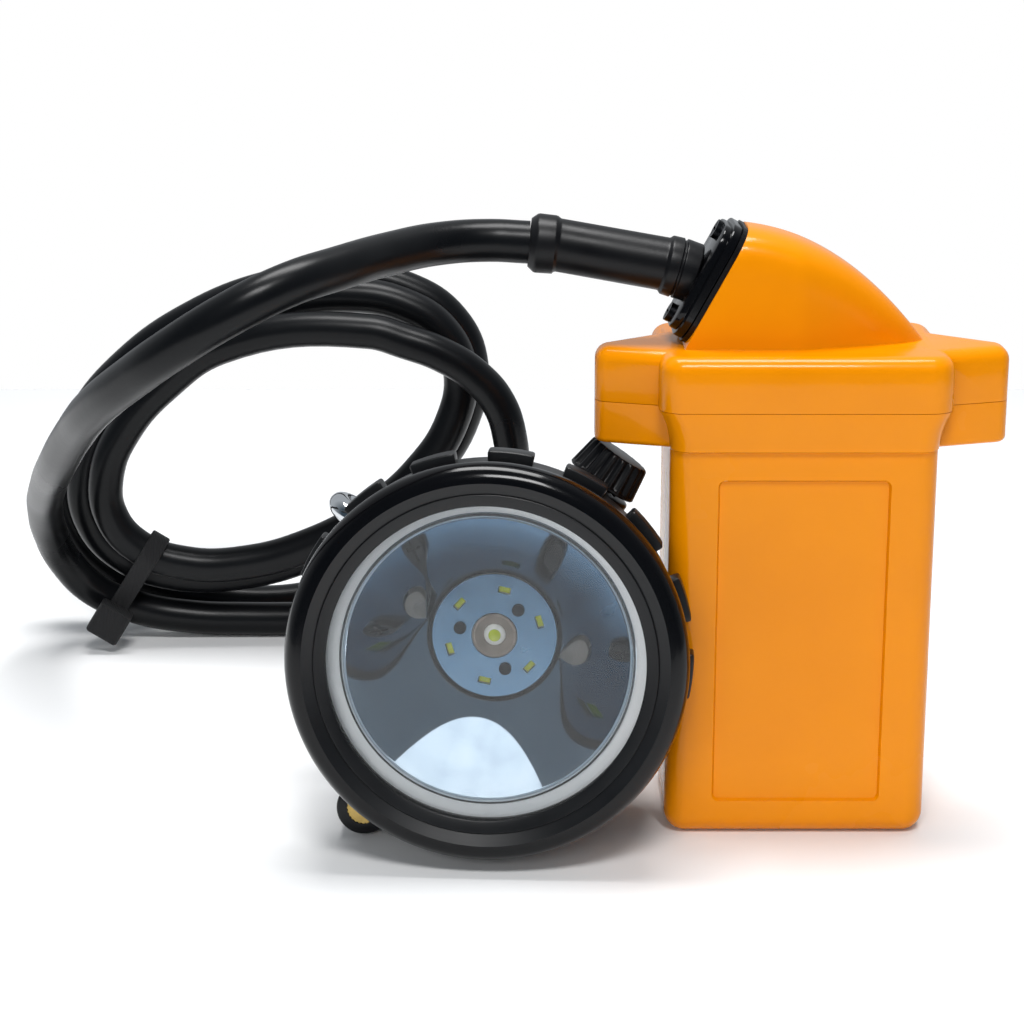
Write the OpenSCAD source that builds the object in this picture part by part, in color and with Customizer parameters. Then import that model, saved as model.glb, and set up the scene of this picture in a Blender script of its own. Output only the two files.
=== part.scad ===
// Miner's cap lamp: a belt-worn battery pack and a cap headpiece on one rubber cord.
// Origin: centre of the battery case's base, on the surface that the lamp stands on.
// +X to the right of the pack, +Y away from its front face, +Z up. Millimetres.

/* [Battery pack] */
// Width of the battery case
case_w = 56; // [54:1:58]
// Depth of the battery case, front to back
case_d = 38; // [36:1:40]
// Height of the seam between case and cover
seam_z = 94; // [93:0.5:95]
// Height of the cover above the seam
cover_h = 11.5; // [11:0.5:12]
// How far the cover stands out past the case on each side
cover_lip = 2.5; // [2:0.5:3]
// Wall of the mouldings
wall = 2.5; // [2:0.5:3]
// Radius of the case's upright and bottom edges
case_r = 4.5; // [4:0.5:5]
// Width over both side lugs
lug_span = 87; // [86:1:88]
// Height of the cable hump above the cover
hump_h = 25.2; // [24:0.1:26]

/* [Cord] */
// Outer diameter of the rubber cord
cord_d = 9; // [8:0.5:9]

/* [Headpiece] */
// Outside radius of the bezel's rounded front
bezel_r = 41.9; // [41.5:0.1:42]
// Outside radius over the bezel's grip lobes
lobe_r = 42.9; // [42.5:0.1:43]
// Number of grip lobes
lobes = 16; // [12:1:18]
// Radius of the clear opening of the bezel
opening_r = 33; // [32:0.5:33]
// Lean of the headpiece's face, upwards
head_tilt = 6.2; // [5.8:0.1:6.6]
// Turn of the headpiece's face, towards -X
head_yaw = 3.2; // [2.5:0.1:3.5]
// Roll of the headpiece about its own axis
head_roll = 56; // [54:1:58]

/* [Hidden] */

$fn = 64;
eps = 0.01;
orange = [0.95, 0.53, 0.06];
black = [0.09, 0.09, 0.1];

// Battery pack
half_w = case_w / 2;
half_d = case_d / 2;
seam_gap = 0.3;
case_top = seam_z - seam_gap / 2;
cover_bottom = seam_z + seam_gap / 2;
cover_top = seam_z + cover_h;
cover_hw = half_w + cover_lip;
cover_hd = half_d + 2;
step_z = seam_z - 8.5;
step_depth = 1;
cover_edge_r = 3.2;
cover_corner_r = 5;
cavity_hw = half_w - wall;
cavity_hd = half_d - wall;
corner_steps = 8;
// Lugs at the sides, which carry the cover's screws
lug_bottom = 85;
lug_tip_x = lug_span / 2;
lug_screw_x = 36;
lug_screw_y = -3.5;
lug_head_r = 3;
lug_shank_r = 1.5;
// Shallow panel on the front face
panel_hw = 17.35;
panel_low = 8.6;
panel_high = 78.7;
panel_depth = 0.8;
// Hump and its slanted gland face
hump_start = -20;
hump_end = 26.4;
hump_power = 2.4;
hump_hd = 11.3;
hump_crown = 9;
gland_face_x = -18.35;
gland_face_z = 117.75;
gland_lean = 28.5;
gland_bore_r = 5;
gland_screw_at = 10;
gland_top = 4.6;
// Cells and board
cell_w = 48;
cell_t = 14;
cell_h = 68;
pad_t = 2;
cell_z = wall + pad_t;
board_z = cell_z + cell_h + 5;
lead_r = 0.9;
// Belt loop on the back
loop_w = 44;
loop_gap = 8;
loop_t = 3;
loop_low = 22;
loop_high = 76;
loop_foot = 8;

// Headpiece, in its own frame: +Z out of the front, +X through the switch knob, +Y to the helmet hook
head_at = [-66.2, -31.8, 44.2];
lip_front = 4.2;
lip_back = 3.2;
bezel_back = -14;
lens_r = 35;
lens_back = 0.2;
lens_front = 2.9;
collar_r = 36;
housing_front = -1;
housing_back = -40.5;
rim_r = 29.9;
reflector_t = 1.2;
reflector_bottom = -25;
reflector_hole_r = 14.6;
parabola_4f = (rim_r * rim_r - reflector_hole_r * reflector_hole_r) / (housing_front - reflector_bottom);
disc_r = 13.5;
disc_front = -25.1;
disc_t = 0.8;
board_front = disc_front - disc_t - 0.8;
board_t = 1.6;
sink_front = board_front - board_t;
main_hole_r = 5;
aux_circle_r = 10.2;
aux_count = 6;
aux_angle = -38;
screw_circle_r = 7.66;
screw_angles = [-8, 112, 232];
knob_z = -28;
shaft_r = 2.5;
shaft_play = 0.05;
boss_top = 39.6;
knob_low = 40.6;
knob_high = 48;
knob_flutes = 18;
contact_angle = 176.8;
contact_at_r = 45.5;
contact_r = 3.5;
contact_boss_r = 5.8;
contact_front = -14.5;
contact_back = -23.5;
hook_rod_r = 2.5;
hook_bend_r = 5.5;
hook_bend_y = 38.5;
hook_plate_t = 2;
hook_leg_z = housing_back - hook_plate_t - 1.5;
gland_y = -22;
head_gland_z = housing_back - 4;
head_nut_z = head_gland_z - 6.5;
head_boot_z = head_nut_z - 20;

// Coil of spare cord, on edge behind the headpiece
coil_at = [-125.5, 54.9];
coil_y = 117;
coil_half_t = 14.6;
coil_lean = 27.1;
coil_out_a = 64.6;
coil_out_b = 42;
coil_in_at = [-121.5, 57.4];
coil_in_a = 43.4;
coil_in_b = 24.5;
// Below this height the bundle's outline is drawn down to its lowest strand, on the floor
coil_foot_z = 20;
coil_foot_pull = 0.56;

// Routes of the cord's centre line where it isn't coiled
cord_r = cord_d / 2;
cord_sides = 10;
feed_route = [
    [-57.3, 0, 126.2], [-66, 0, 126.6], [-76, -4, 126.6], [-86, -13, 126], [-96, -25, 125],
    [-106, -34, 123], [-117, -38, 118], [-128, -36, 111], [-138, -27, 103], [-148, -11, 93.5],
    [-157, 12, 82], [-166, 38, 68.5], [-173.5, 64, 56], [-178.7, 86, 44.5], [-180.3, 100, 34],
    [-178.5, 108.5, 24], [-172, 113.5, 14.5], [-161, 116.5, 8.5], [-147, 118.3, 5.4], [-132, 119, 4.6]
];
return_route = [
    [-117, 119, 4.6], [-102, 119, 4.6], [-89, 120.5, 4.6], [-79.5, 126.5, 4.6], [-76, 136, 4.6],
    [-80.5, 145, 4.6], [-91, 148.5, 4.6], [-103, 145.5, 4.6], [-115, 139, 4.6], [-128, 133.5, 4.8],
    [-142, 131, 6.5], [-156.5, 130, 10.8], [-170.9, 127.1, 18]
];
tail_route = [
    [-97.5, 104.6, 86.1], [-88, 104.2, 83.5], [-79, 104, 80.2], [-70.5, 104, 74.7], [-64.4, 104, 67.4],
    [-61.5, 104.4, 58], [-60.8, 105.5, 47], [-60.6, 106, 35], [-60.2, 103, 23.5], [-58.8, 95.5, 13.5],
    [-56.4, 84.5, 6.8], [-53.3, 74, 4.8], [-50, 65, 8.5], [-47, 55, 15], [-44.9, 45.5, 21.2],
    [-44.1, 36.35, 24.3]
];
tie_at = [-160.4, 18.7];
tie_lean = 32;
tie_half = 15.7;
tie_w = 5;
tie_t = 1.2;
tie_block = 9;

// ---- shared shapes ----

// Rounded rectangle at height z, anticlockwise
function rounded_ring(hw, hd, r, z) = [
    for (corner = [[1, 1, 0], [-1, 1, 90], [-1, -1, 180], [1, -1, 270]])
        for (k = [0 : corner_steps])
            let (a = corner[2] + 90 * k / corner_steps)
            [corner[0] * (hw - r) + r * cos(a), corner[1] * (hd - r) + r * sin(a), z]
];

// Solid through a list of closed rings that have the same number of points
module loft(rings) {
    n = len(rings[0]);
    m = len(rings);
    sides = [
        for (j = [0 : m - 2])
            for (i = [0 : n - 1])
                let (a = j * n + i, b = j * n + (i + 1) % n)
                each [[a, a + n, b], [b, a + n, b + n]]
    ];
    first = [[for (i = [0 : n - 1]) i]];
    last = [[for (i = [n - 1 : -1 : 0]) (m - 1) * n + i]];
    polyhedron([for (ring = rings) each ring], concat(first, sides, last), convexity = 6);
}

function unit(v) = v / norm(v);

// Directions along a route of points
function headings(path) = [
    for (i = [0 : len(path) - 1])
        unit(path[min(i + 1, len(path) - 1)] - path[max(i - 1, 0)])
];

// Side directions carried along the route without twist
function carried(side, heading) = unit(side - (side * heading) * heading);
function side_vectors(dirs, start) = [
    for (i = 0, s = carried(start, dirs[0]); i < len(dirs); i = i + 1, s = carried(s, dirs[min(i, len(dirs) - 1)]))
        s
];

// Round rod along a route, with one radius for each point
module swept(path, radii, sides) {
    dirs = headings(path);
    across = side_vectors(dirs, [0.1, 0.9, 0.4]);
    loft([
        for (i = [0 : len(path) - 1])
            let (up = cross(dirs[i], across[i]))
            [for (k = [0 : sides - 1])
                path[i] + radii[i] * (cos(360 * k / sides) * across[i] + sin(360 * k / sides) * up)]
    ]);
}

module cord_tube(path) {
    swept(path, [for (p = path) cord_r], cord_sides);
}

module rounded_block(hw, hd, r, height) {
    linear_extrude(height)
        polygon([for (p = rounded_ring(hw, hd, r, 0)) [p[0], p[1]]]);
}

// Screw whose head stands on z = 0 and whose shank points down
module pan_screw(r, length, head_r, head_h) {
    difference() {
        union() {
            cylinder(r = head_r, h = head_h);
            translate([0, 0, -length])
                cylinder(r = r, h = length + eps);
        }
        for (a = [0, 90])
            rotate([0, 0, a])
                translate([-head_r * 0.65, -head_r * 0.13, head_h * 0.45])
                    cube([head_r * 1.3, head_r * 0.26, head_h]);
    }
}

// Places children in the headpiece's own frame
module in_head() {
    translate(head_at)
        rotate([0, 0, -head_yaw])
            rotate([90 - head_tilt, 0, 0])
                rotate([0, 0, head_roll])
                    children();
}

// Places children on the slanted gland face: +Z out of it, +X up along it
module on_gland_face() {
    translate([gland_face_x, 0, gland_face_z])
        rotate([0, gland_lean - 90, 0])
            children();
}

// ---- battery pack ----

// One side lug, drawn at +X, between two heights, with its eased edge at the top or the bottom
module side_lug(low, high, ease_top) {
    ease = ease_top ? 2.6 : 1;
    posts = [[26, -8, 6], [26, 4, 6], [lug_tip_x - 3.2, -6.4, 3.2], [lug_tip_x - 3.2, -3.6, 3.2]];
    hull()
        for (p = posts)
            for (a = [0, 30, 60, 90])
                translate([p[0], p[1], ease_top ? low : low + ease * (1 - sin(a))])
                    cylinder(r = p[2] - ease * (1 - cos(a)), h = high - low - ease * (1 - sin(a)), $fn = 32);
}

module both_sides() {
    children();
    mirror([1, 0, 0])
        children();
}

module case_shell() {
    edge = [for (k = [0 : 5]) 90 * k / 5];
    foot = [
        for (a = edge)
            let (inset = case_r * (1 - sin(a)))
            rounded_ring(half_w - inset, half_d - inset, max(case_r - inset, 0.4), case_r * (1 - cos(a)))
    ];
    // The sides widen into the cover's lip with an S curve; the front steps out below the seam
    flare = [
        for (p = [[-1.5, 0, 0], [-0.3, 0.1, 0], [0.1, 0.15, step_depth - 0.1], [0.5, 0.2, step_depth], [3, 0.7, 1.4],
            [5, 1.4, 1.7], [6.8, 2.1, 1.9], [case_top - step_z, cover_lip, 2]])
            rounded_ring(half_w + p[1], half_d + p[2], case_r + 0.15 * p[1], step_z + p[0])
    ];
    loft(concat(foot, flare));
}

module battery_case() {
    panel_z = (panel_low + panel_high) / 2;
    panel_hh = (panel_high - panel_low) / 2;
    color(orange)
        difference() {
            union() {
                case_shell();
                both_sides()
                    side_lug(lug_bottom, case_top, false);
            }
            translate([0, 0, wall])
                rounded_block(cavity_hw, cavity_hd, case_r - 2, seam_z);
            translate([0, -half_d, panel_z])
                rotate([-90, 0, 0])
                    loft([
                        rounded_ring(panel_hw + 0.7, panel_hh + 0.7, 1.5, -0.2),
                        rounded_ring(panel_hw, panel_hh, 1, panel_depth)
                    ]);
            both_sides()
                translate([lug_screw_x, lug_screw_y, 0]) {
                    translate([0, 0, lug_bottom - 1])
                        cylinder(r = lug_head_r + 0.4, h = 4);
                    cylinder(r = lug_shank_r + 0.2, h = seam_z);
                }
        }
}

// Half depth of the hump's footprint at x: parallel by the gland, then narrowing to its right end
function hump_half_depth(x) =
    x < -1 ? hump_hd
    : x < 21 ? hump_hd - 0.3 * (x + 1)
    : 4.7 * sqrt(max(0.01, (27.2 - x) / 6.2));

// The hump as a solid above the cover, drawn in by an inset for its hollow
module hump_solid(inset, floor_z) {
    steps = 16;
    arch = 18;
    squareness = 0.7;
    loft([
        for (j = [0 : steps])
            let (x = -28 + (hump_end + 28) * j / steps,
                t = max(0, (x - hump_start) / (hump_end - hump_start)),
                half = max(0.5, hump_half_depth(x) - inset),
                h = max(0.5, cover_top - 0.2 - floor_z - inset + hump_h * (1 - pow(t, hump_power))),
                crown = min(hump_crown, h))
            concat(
                [[x, half, floor_z]],
                [for (k = [0 : arch])
                    let (a = 180 * k / arch, c = cos(a))
                    [x, half * sign(c) * pow(abs(c), squareness),
                        floor_z + h - crown + crown * pow(abs(sin(a)), squareness) + eps]],
                [[x, -half, floor_z]]
            )
    ]);
}

// Everything outside a plane parallel to the gland face
module beyond_gland_face(depth) {
    on_gland_face()
        translate([-60, -60, -depth])
            cube([120, 120, 60]);
}

module cover_shell() {
    edge = [for (k = [0 : 5]) 90 * k / 5];
    loft(concat(
        [rounded_ring(cover_hw, cover_hd, cover_corner_r, cover_bottom)],
        [for (a = edge)
            let (inset = cover_edge_r * (1 - cos(a)))
            rounded_ring(cover_hw - inset, cover_hd - inset, cover_corner_r - inset,
                cover_top - cover_edge_r * (1 - sin(a)))]
    ));
}

module case_cover() {
    color(orange)
        difference() {
            union() {
                cover_shell();
                both_sides()
                    side_lug(cover_bottom, cover_top, true);
                difference() {
                    hump_solid(0, seam_z + 4);
                    beyond_gland_face(0);
                }
            }
            translate([0, 0, seam_z - 1])
                rounded_block(cavity_hw, cavity_hd, case_r - 2, cover_h - 1.5);
            difference() {
                hump_solid(3, seam_z + 2);
                beyond_gland_face(3.5);
            }
            on_gland_face()
                translate([0, 0, -8])
                    cylinder(r = gland_bore_r, h = 10);
            on_gland_face()
                for (s = [-1, 1])
                    translate([s * gland_screw_at, 0, -3])
                        cylinder(r = 1.2, h = 4);
            both_sides()
                translate([lug_screw_x, lug_screw_y, cover_bottom - 1])
                    cylinder(r = lug_shank_r, h = 8);
        }
}

module cover_gasket() {
    color("dimgray")
        translate([0, 0, case_top])
            difference() {
                rounded_block(half_w - 0.4, half_d - 0.4, case_r - 0.4, seam_gap);
                translate([0, 0, -1])
                    rounded_block(cavity_hw, cavity_hd, case_r - 2, seam_gap + 2);
            }
}

module cover_screws() {
    color("silver")
        both_sides()
            translate([lug_screw_x, lug_screw_y, lug_bottom + 3])
                rotate([180, 0, 0])
                    pan_screw(lug_shank_r, 12, lug_head_r, 2);
}

module cell(y) {
    translate([0, y, cell_z]) {
        rounded_block(cell_w / 2, cell_t / 2, 3, cell_h);
        for (x = [-14, 14])
            translate([x, 0, cell_h])
                rounded_block(4, 2.5, 0.5, 1.2);
    }
}

module cell_front() {
    color("lightsteelblue")
        cell(-cell_t / 2 - 0.4);
}

module cell_rear() {
    color("lightsteelblue")
        cell(cell_t / 2 + 0.4);
}

module cell_pad() {
    color("gray")
        translate([0, 0, wall])
            rounded_block(cavity_hw - 0.2, cavity_hd - 0.2, case_r - 2, pad_t);
}

// One nickel strip joins the same pole of both cells
module cell_tabs() {
    color("silver")
        for (x = [-14, 14])
            translate([x - 3, -cell_t / 2 - 3, cell_z + cell_h + 1.2])
                cube([6, cell_t + 6, 0.3]);
}

module protection_board() {
    color("darkgreen")
        translate([0, 0, board_z]) {
            translate([-21, -12, 0])
                cube([42, 24, 1.6]);
            for (p = [[-19, -4, 6, 5], [-3, -5, 5, 6], [6, 2, 7, 5]])
                translate([p[0], p[1], 1.6])
                    cube([p[2], p[3], 1.4]);
            for (x = [-14, 14])
                translate([x - 1, -1, -3.5])
                    cube([2, 2, 3.5]);
        }
}

module fuse() {
    color("goldenrod")
        translate([15, -6, board_z + 1.6 + 3.5])
            rotate([0, 90, 0])
                cylinder(r = 3.5, h = 2);
}

// Two insulated wires from the board up into the gland
module battery_leads() {
    color("firebrick")
        for (s = [-1, 1])
            swept([
                [-8, 2 * s, board_z + 1.6], [-8, 2 * s, board_z + 9], [-8, 1.6 * s, board_z + 17],
                [-9, 1.3 * s, board_z + 26], [-11.5, 1.2 * s, gland_face_z - 4], [-16, 1.2 * s, gland_face_z - 1.2]
            ], [for (k = [0 : 5]) lead_r], 8);
}

module belt_loop_profile() {
    outer = loop_gap + loop_t;
    polygon([
        [0, loop_low - loop_foot], [loop_t, loop_low - loop_foot], [loop_t, loop_low - 3],
        [outer - 1.5, loop_low - 3], [outer, loop_low - 1.5],
        [outer, loop_high + 1.5], [outer - 1.5, loop_high + 3],
        [loop_t, loop_high + 3], [loop_t, loop_high + loop_foot], [0, loop_high + loop_foot],
        [0, loop_high], [loop_gap, loop_high], [loop_gap, loop_low], [0, loop_low]
    ]);
}

// Bridge on the back of the case that the waist belt passes under
module belt_loop() {
    color(black)
        difference() {
            translate([-loop_w / 2, half_d, 0])
                rotate([90, 0, 90])
                    linear_extrude(loop_w)
                        belt_loop_profile();
            for (x = [-15, 15])
                for (z = [loop_low - 5.5, loop_high + 5.5])
                    translate([x, half_d - 1, z])
                        rotate([-90, 0, 0])
                            cylinder(r = 1.5, h = 8);
        }
}

module belt_loop_screws() {
    color("silver")
        for (x = [-15, 15])
            for (z = [loop_low - 5.5, loop_high + 5.5])
                translate([x, half_d + loop_t, z])
                    rotate([-90, 0, 0])
                        pan_screw(1.5, loop_t, 2.4, 1.5);
}

// ---- cable gland on the cover ----

module gland_seal() {
    color("black")
        on_gland_face()
            difference() {
                rounded_block(13.6, 10.4, 6, 1);
                translate([0, 0, -1])
                    cylinder(r = gland_bore_r, h = 3);
                for (s = [-1, 1])
                    translate([s * gland_screw_at, 0, -1])
                        cylinder(r = 1.3, h = 3);
            }
}

module gland_plate() {
    color(black)
        on_gland_face()
            difference() {
                union() {
                    translate([0, 0, 1])
                        rounded_block(13.2, 10, 5.8, 2);
                    translate([0, 0, 3 - eps])
                        rounded_block(12.2, 9, 5, gland_top - 3 + eps);
                }
                for (s = [-1, 1])
                    translate([s * gland_screw_at, 0, 0])
                        cylinder(r = 1.3, h = 6);
                translate([0, 0, -1])
                    cylinder(r = 4, h = 8);
            }
}

module gland_screws() {
    color("silver")
        on_gland_face()
            for (s = [-1, 1])
                translate([s * gland_screw_at, 0, gland_top])
                    pan_screw(1.2, 7.4, 2.1, 1);
}

// Moulded strain relief: collar at the root, plain sleeve, bead at the free end
module cable_boot() {
    stations = [
        [-22.4, 119.6, 6.2], [-24.4, 120.4, 6.4], [-27.6, 121.2, 6.3], [-29, 121.6, 5.7], [-33, 122.6, 5.6],
        [-38, 123.6, 5.6], [-43, 124.5, 5.6], [-48, 125.2, 5.6], [-52, 125.7, 5.6],
        [-53.4, 125.8, 6.1], [-55.6, 126, 6.2], [-56.8, 126.15, 5.8], [-57.3, 126.2, 5.2]
    ];
    color(black)
        swept([for (s = stations) [s[0], 0, s[1]]], [for (s = stations) s[2]], 24);
}

// ---- free cord ----

module cord_feed() {
    color(black)
        cord_tube(feed_route);
}

module cord_return() {
    color(black)
        cord_tube(return_route);
}

module cord_tail() {
    color(black)
        cord_tube(tail_route);
}

function leaning_oval(at, a, b) = [
    for (k = [0 : 47])
        let (t = 360 * k / 48, x = a * cos(t), y = b * sin(t))
        at + [x * cos(coil_lean) - y * sin(coil_lean), x * sin(coil_lean) + y * cos(coil_lean)]
];

module cord_coil() {
    outline = [
        for (p = leaning_oval(coil_at, coil_out_a, coil_out_b))
            [p[0], p[1] < coil_foot_z ? p[1] - coil_foot_pull * (coil_foot_z - p[1]) : p[1]]
    ];
    color(black)
        translate([0, coil_y + coil_half_t, 0])
            rotate([90, 0, 0])
                linear_extrude(2 * coil_half_t)
                    difference() {
                        polygon(outline);
                        polygon(leaning_oval(coil_in_at, coil_in_a, coil_in_b));
                    }
}

// Band drawn tight round the bundle, with its block at the outer end on the floor
module cord_tie() {
    color("black")
        translate([tie_at[0], coil_y, tie_at[1]])
            rotate([0, tie_lean, 0])
                difference() {
                    union() {
                        translate([0, 0, -tie_half])
                            linear_extrude(2 * tie_half)
                                square([tie_w, 2 * (coil_half_t + 0.4 + tie_t)], center = true);
                        translate([-tie_block / 2, -coil_half_t - 0.4 - tie_t, -tie_half - 1])
                            cube([tie_block, 5, tie_block]);
                    }
                    translate([0, 0, -tie_half + tie_t])
                        linear_extrude(2 * (tie_half - tie_t))
                            square([tie_w + 10, 2 * (coil_half_t + 0.4)], center = true);
                }
}

// ---- headpiece ----

// Arc of outline points round a centre
function arc(cx, cy, r, from, to, steps) = [
    for (k = [0 : steps])
        let (a = from + (to - from) * k / steps)
        [cx + r * cos(a), cy + r * sin(a)]
];

module lamp_housing() {
    color(black)
        in_head()
            difference() {
                union() {
                    rotate_extrude()
                        polygon(concat(
                            [[0, housing_back], [27, housing_back]],
                            arc(27, housing_back + 7, 7, -90, 0, 6),
                            [[35, -18], [collar_r, -16], [collar_r, housing_front],
                            [33.8, housing_front], [33.8, -3], [32.6, -3], [32, -28]],
                            arc(26, housing_back + 8, 5.8, 0, -90, 5),
                            [[0, housing_back + 2.2]]
                        ));
                    // Switch boss
                    translate([29, 0, knob_z])
                        rotate([0, 90, 0])
                            cylinder(r = 7.6, h = boss_top - 29);
                    // Lug that carries the charging contact
                    rotate([0, 0, contact_angle]) {
                        translate([contact_at_r, 0, contact_back + 1.5])
                            cylinder(r = contact_boss_r, h = contact_front - contact_back - 1.5);
                        translate([33, -contact_boss_r, contact_back + 1.5])
                            cube([contact_at_r - 33, 2 * contact_boss_r, contact_front - contact_back - 1.5]);
                    }
                    // Cable boss
                    translate([0, gland_y, head_gland_z])
                        cylinder(r = 8.6, h = 5);
                }
                translate([20, 0, knob_z])
                    rotate([0, 90, 0])
                        cylinder(r = shaft_r + shaft_play, h = 25);
                translate([boss_top - 2, 0, knob_z])
                    rotate([0, 90, 0])
                        cylinder(r = 4.4, h = 3);
                rotate([0, 0, contact_angle])
                    translate([contact_at_r, 0, contact_back - 1])
                        cylinder(r = contact_r, h = 20);
                translate([0, gland_y, head_gland_z - 1])
                    cylinder(r = 5.4, h = 9);
                rotate_extrude()
                    polygon(concat(
                        [[0, housing_back + 2.2], [26, housing_back + 2.2]],
                        arc(26, housing_back + 8, 5.8, -90, 0, 5),
                        [[32, -28], [20, -20], [0, -20]]
                    ));
                for (p = hook_screw_places)
                    translate([p[0], p[1], housing_back - 1])
                        cylinder(r = 1.5, h = 5);
            }
}

hook_screw_places = [[-8, 4], [8, 4], [-8, 20], [8, 20]];

module bezel_ring() {
    color(black)
        in_head() {
            difference() {
                union() {
                    rotate_extrude()
                        polygon(concat(
                            [[opening_r, lip_back], [opening_r, lip_front], [37.2, 5.7]],
                            arc(bezel_r - 4.4, 1.7, 4.4, 82, -40, 9),
                            [[40.7, -1.6], [40.7, bezel_back], [30, bezel_back], [30, lip_back]]
                        ));
                    for (k = [0 : lobes - 1])
                        rotate([0, 0, 360 * (k + 0.5) / lobes + 5.4 - head_roll])
                            intersection() {
                                translate([0, 0, -13.4])
                                    cylinder(r = lobe_r, h = 6.4);
                                translate([38, -5.2, -14])
                                    cube([8, 10.4, 8]);
                            }
                }
                translate([0, 0, -20])
                    cylinder(r = collar_r + 0.3, h = 19.4);
                translate([0, 0, -1])
                    cylinder(r = lens_r + 0.4, h = lip_back + 1);
                cylinder(r = opening_r, h = 12);
            }
        }
}

module front_lens() {
    color([0.8, 0.9, 0.95, 0.35])
        in_head()
            translate([0, 0, lens_back])
                cylinder(r = lens_r, h = lens_front - lens_back);
}

module lens_seal() {
    color("black")
        in_head()
            rotate_extrude()
                polygon([[33.6, -0.7], [35, -0.7], [35, lens_back], [33.6, lens_back]]);
}

module trim_ring() {
    color("lightgray")
        in_head()
            rotate_extrude()
                polygon([[30.9, -1.9], [33.7, -1.9], [33.7, housing_front], [33.1, housing_front], [30.9, -1.7]]);
}

// Parabola through the rim and the opening round the lamp disc
function bowl_z(r) = reflector_bottom + (r * r - reflector_hole_r * reflector_hole_r) / parabola_4f;

module reflector() {
    steps = 12;
    radii = [for (k = [0 : steps]) reflector_hole_r + (rim_r - reflector_hole_r) * k / steps];
    color("white")
        in_head()
            rotate_extrude()
                polygon(concat(
                    [for (r = radii) [r, bowl_z(r)]],
                    [[30.7, housing_front], [30.7, -1.9], [33.7, -1.9], [33.7, -2.9], [30.9, -2.9]],
                    [for (k = [steps - 1 : -1 : 0]) [radii[k] + reflector_t, bowl_z(radii[k]) - 0.3]]
                ));
}

module around_disc(r, count, first) {
    for (k = [0 : count - 1])
        rotate([0, 0, first + 360 * k / count])
            translate([r, 0, 0])
                children();
}

module led_disc() {
    color([0.5, 0.6, 0.72])
        in_head()
            translate([0, 0, disc_front - disc_t])
                difference() {
                    cylinder(r = disc_r, h = disc_t);
                    translate([0, 0, -1])
                        cylinder(r = main_hole_r, h = 3);
                    translate([0, 0, -1])
                        around_disc(aux_circle_r, aux_count, aux_angle)
                            translate([-0.75, -1.4, 0])
                                cube([1.5, 2.8, 3]);
                    translate([0, 0, -1])
                        around_disc(screw_circle_r, 3, screw_angles[0])
                            cylinder(r = 1.05, h = 3);
                }
}

module led_board() {
    color("whitesmoke")
        in_head()
            translate([0, 0, sink_front])
                difference() {
                    cylinder(r = disc_r, h = board_t);
                    translate([0, 0, -1])
                        around_disc(screw_circle_r, 3, screw_angles[0])
                            cylinder(r = 1.05, h = 4);
                }
}

module main_led() {
    color("yellow")
        in_head()
            translate([0, 0, board_front]) {
                cylinder(r = 2.3, h = 0.8);
                intersection() {
                    translate([0, 0, 0.4])
                        sphere(r = 1.8);
                    translate([0, 0, 0.8 - eps])
                        cylinder(r = 3, h = 3);
                }
            }
}

module led_collar() {
    color("rosybrown")
        in_head()
            translate([0, 0, board_front])
                rotate_extrude()
                    polygon([[2.4, 0], [4.8, 0], [4.8, 1.7], [4.2, 1.7], [2.4, 0.6]]);
}

module aux_leds() {
    color("khaki")
        in_head()
            translate([0, 0, board_front])
                around_disc(aux_circle_r, aux_count, aux_angle)
                    translate([-0.6, -1.2, 0])
                        cube([1.2, 2.4, 0.7]);
}

module disc_screws() {
    color("silver")
        in_head()
            translate([0, 0, disc_front])
                around_disc(screw_circle_r, 3, screw_angles[0])
                    pan_screw(1, 5.5, 1.35, 0.5);
}

module heat_sink() {
    color("silver")
        in_head()
            difference() {
                union() {
                    translate([0, 0, sink_front - 3])
                        cylinder(r = 17, h = 3);
                    for (a = [45, 135, 225, 315])
                        rotate([0, 0, a])
                            translate([14.5, 0, housing_back + 2.2])
                                cylinder(r = 1.8, h = sink_front - 3 - housing_back - 2.2 + eps);
                }
                translate([0, 0, sink_front - 4])
                    around_disc(screw_circle_r, 3, screw_angles[0])
                        cylinder(r = 1, h = 6);
            }
}

module driver_board() {
    color("darkgreen")
        in_head()
            translate([0, 0, -37])
                difference() {
                    union() {
                        cylinder(r = 12, h = 1.6);
                        translate([-5, 2, 1.6])
                            cylinder(r = 3, h = 2.4);
                        translate([2, -6, 1.6])
                            cube([5, 5, 1.2]);
                    }
                    translate([0, 0, -1])
                        cylinder(r = 1.5, h = 4);
                }
}

module switch_body() {
    color("dimgray")
        in_head()
            difference() {
                translate([20, -5.5, knob_z - 5.5])
                    cube([8.4, 11, 11]);
                translate([22, 0, knob_z])
                    rotate([0, 90, 0])
                        cylinder(r = shaft_r + shaft_play, h = 12);
            }
}

module switch_shaft() {
    color("silver")
        in_head()
            translate([22.6, 0, knob_z])
                rotate([0, 90, 0])
                    cylinder(r = shaft_r, h = knob_high - 3 - 22.6);
}

module switch_seal() {
    color("black")
        in_head()
            translate([boss_top - 1, 0, knob_z])
                rotate([0, 90, 0])
                    rotate_extrude()
                        translate([3.45, 0])
                            circle(r = 0.88, $fn = 32);
}

// Tapered grip with flutes between its ribs
module switch_knob() {
    low_r = 8;
    high_r = 6.8;
    color(black)
        in_head()
            translate([knob_low, 0, knob_z])
                rotate([0, 90, 0])
                    difference() {
                        cylinder(r1 = low_r, r2 = high_r, h = knob_high - knob_low);
                        for (k = [0 : knob_flutes - 1])
                            rotate([0, 0, 360 * k / knob_flutes])
                                translate([low_r + 0.5, 0, 1])
                                    rotate([0, -9.2, 0])
                                        cylinder(r = 1, h = 12, $fn = 24);
                        translate([0, 0, -1])
                            cylinder(r = shaft_r, h = knob_high - 3 - knob_low + 1);
                    }
}

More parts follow.
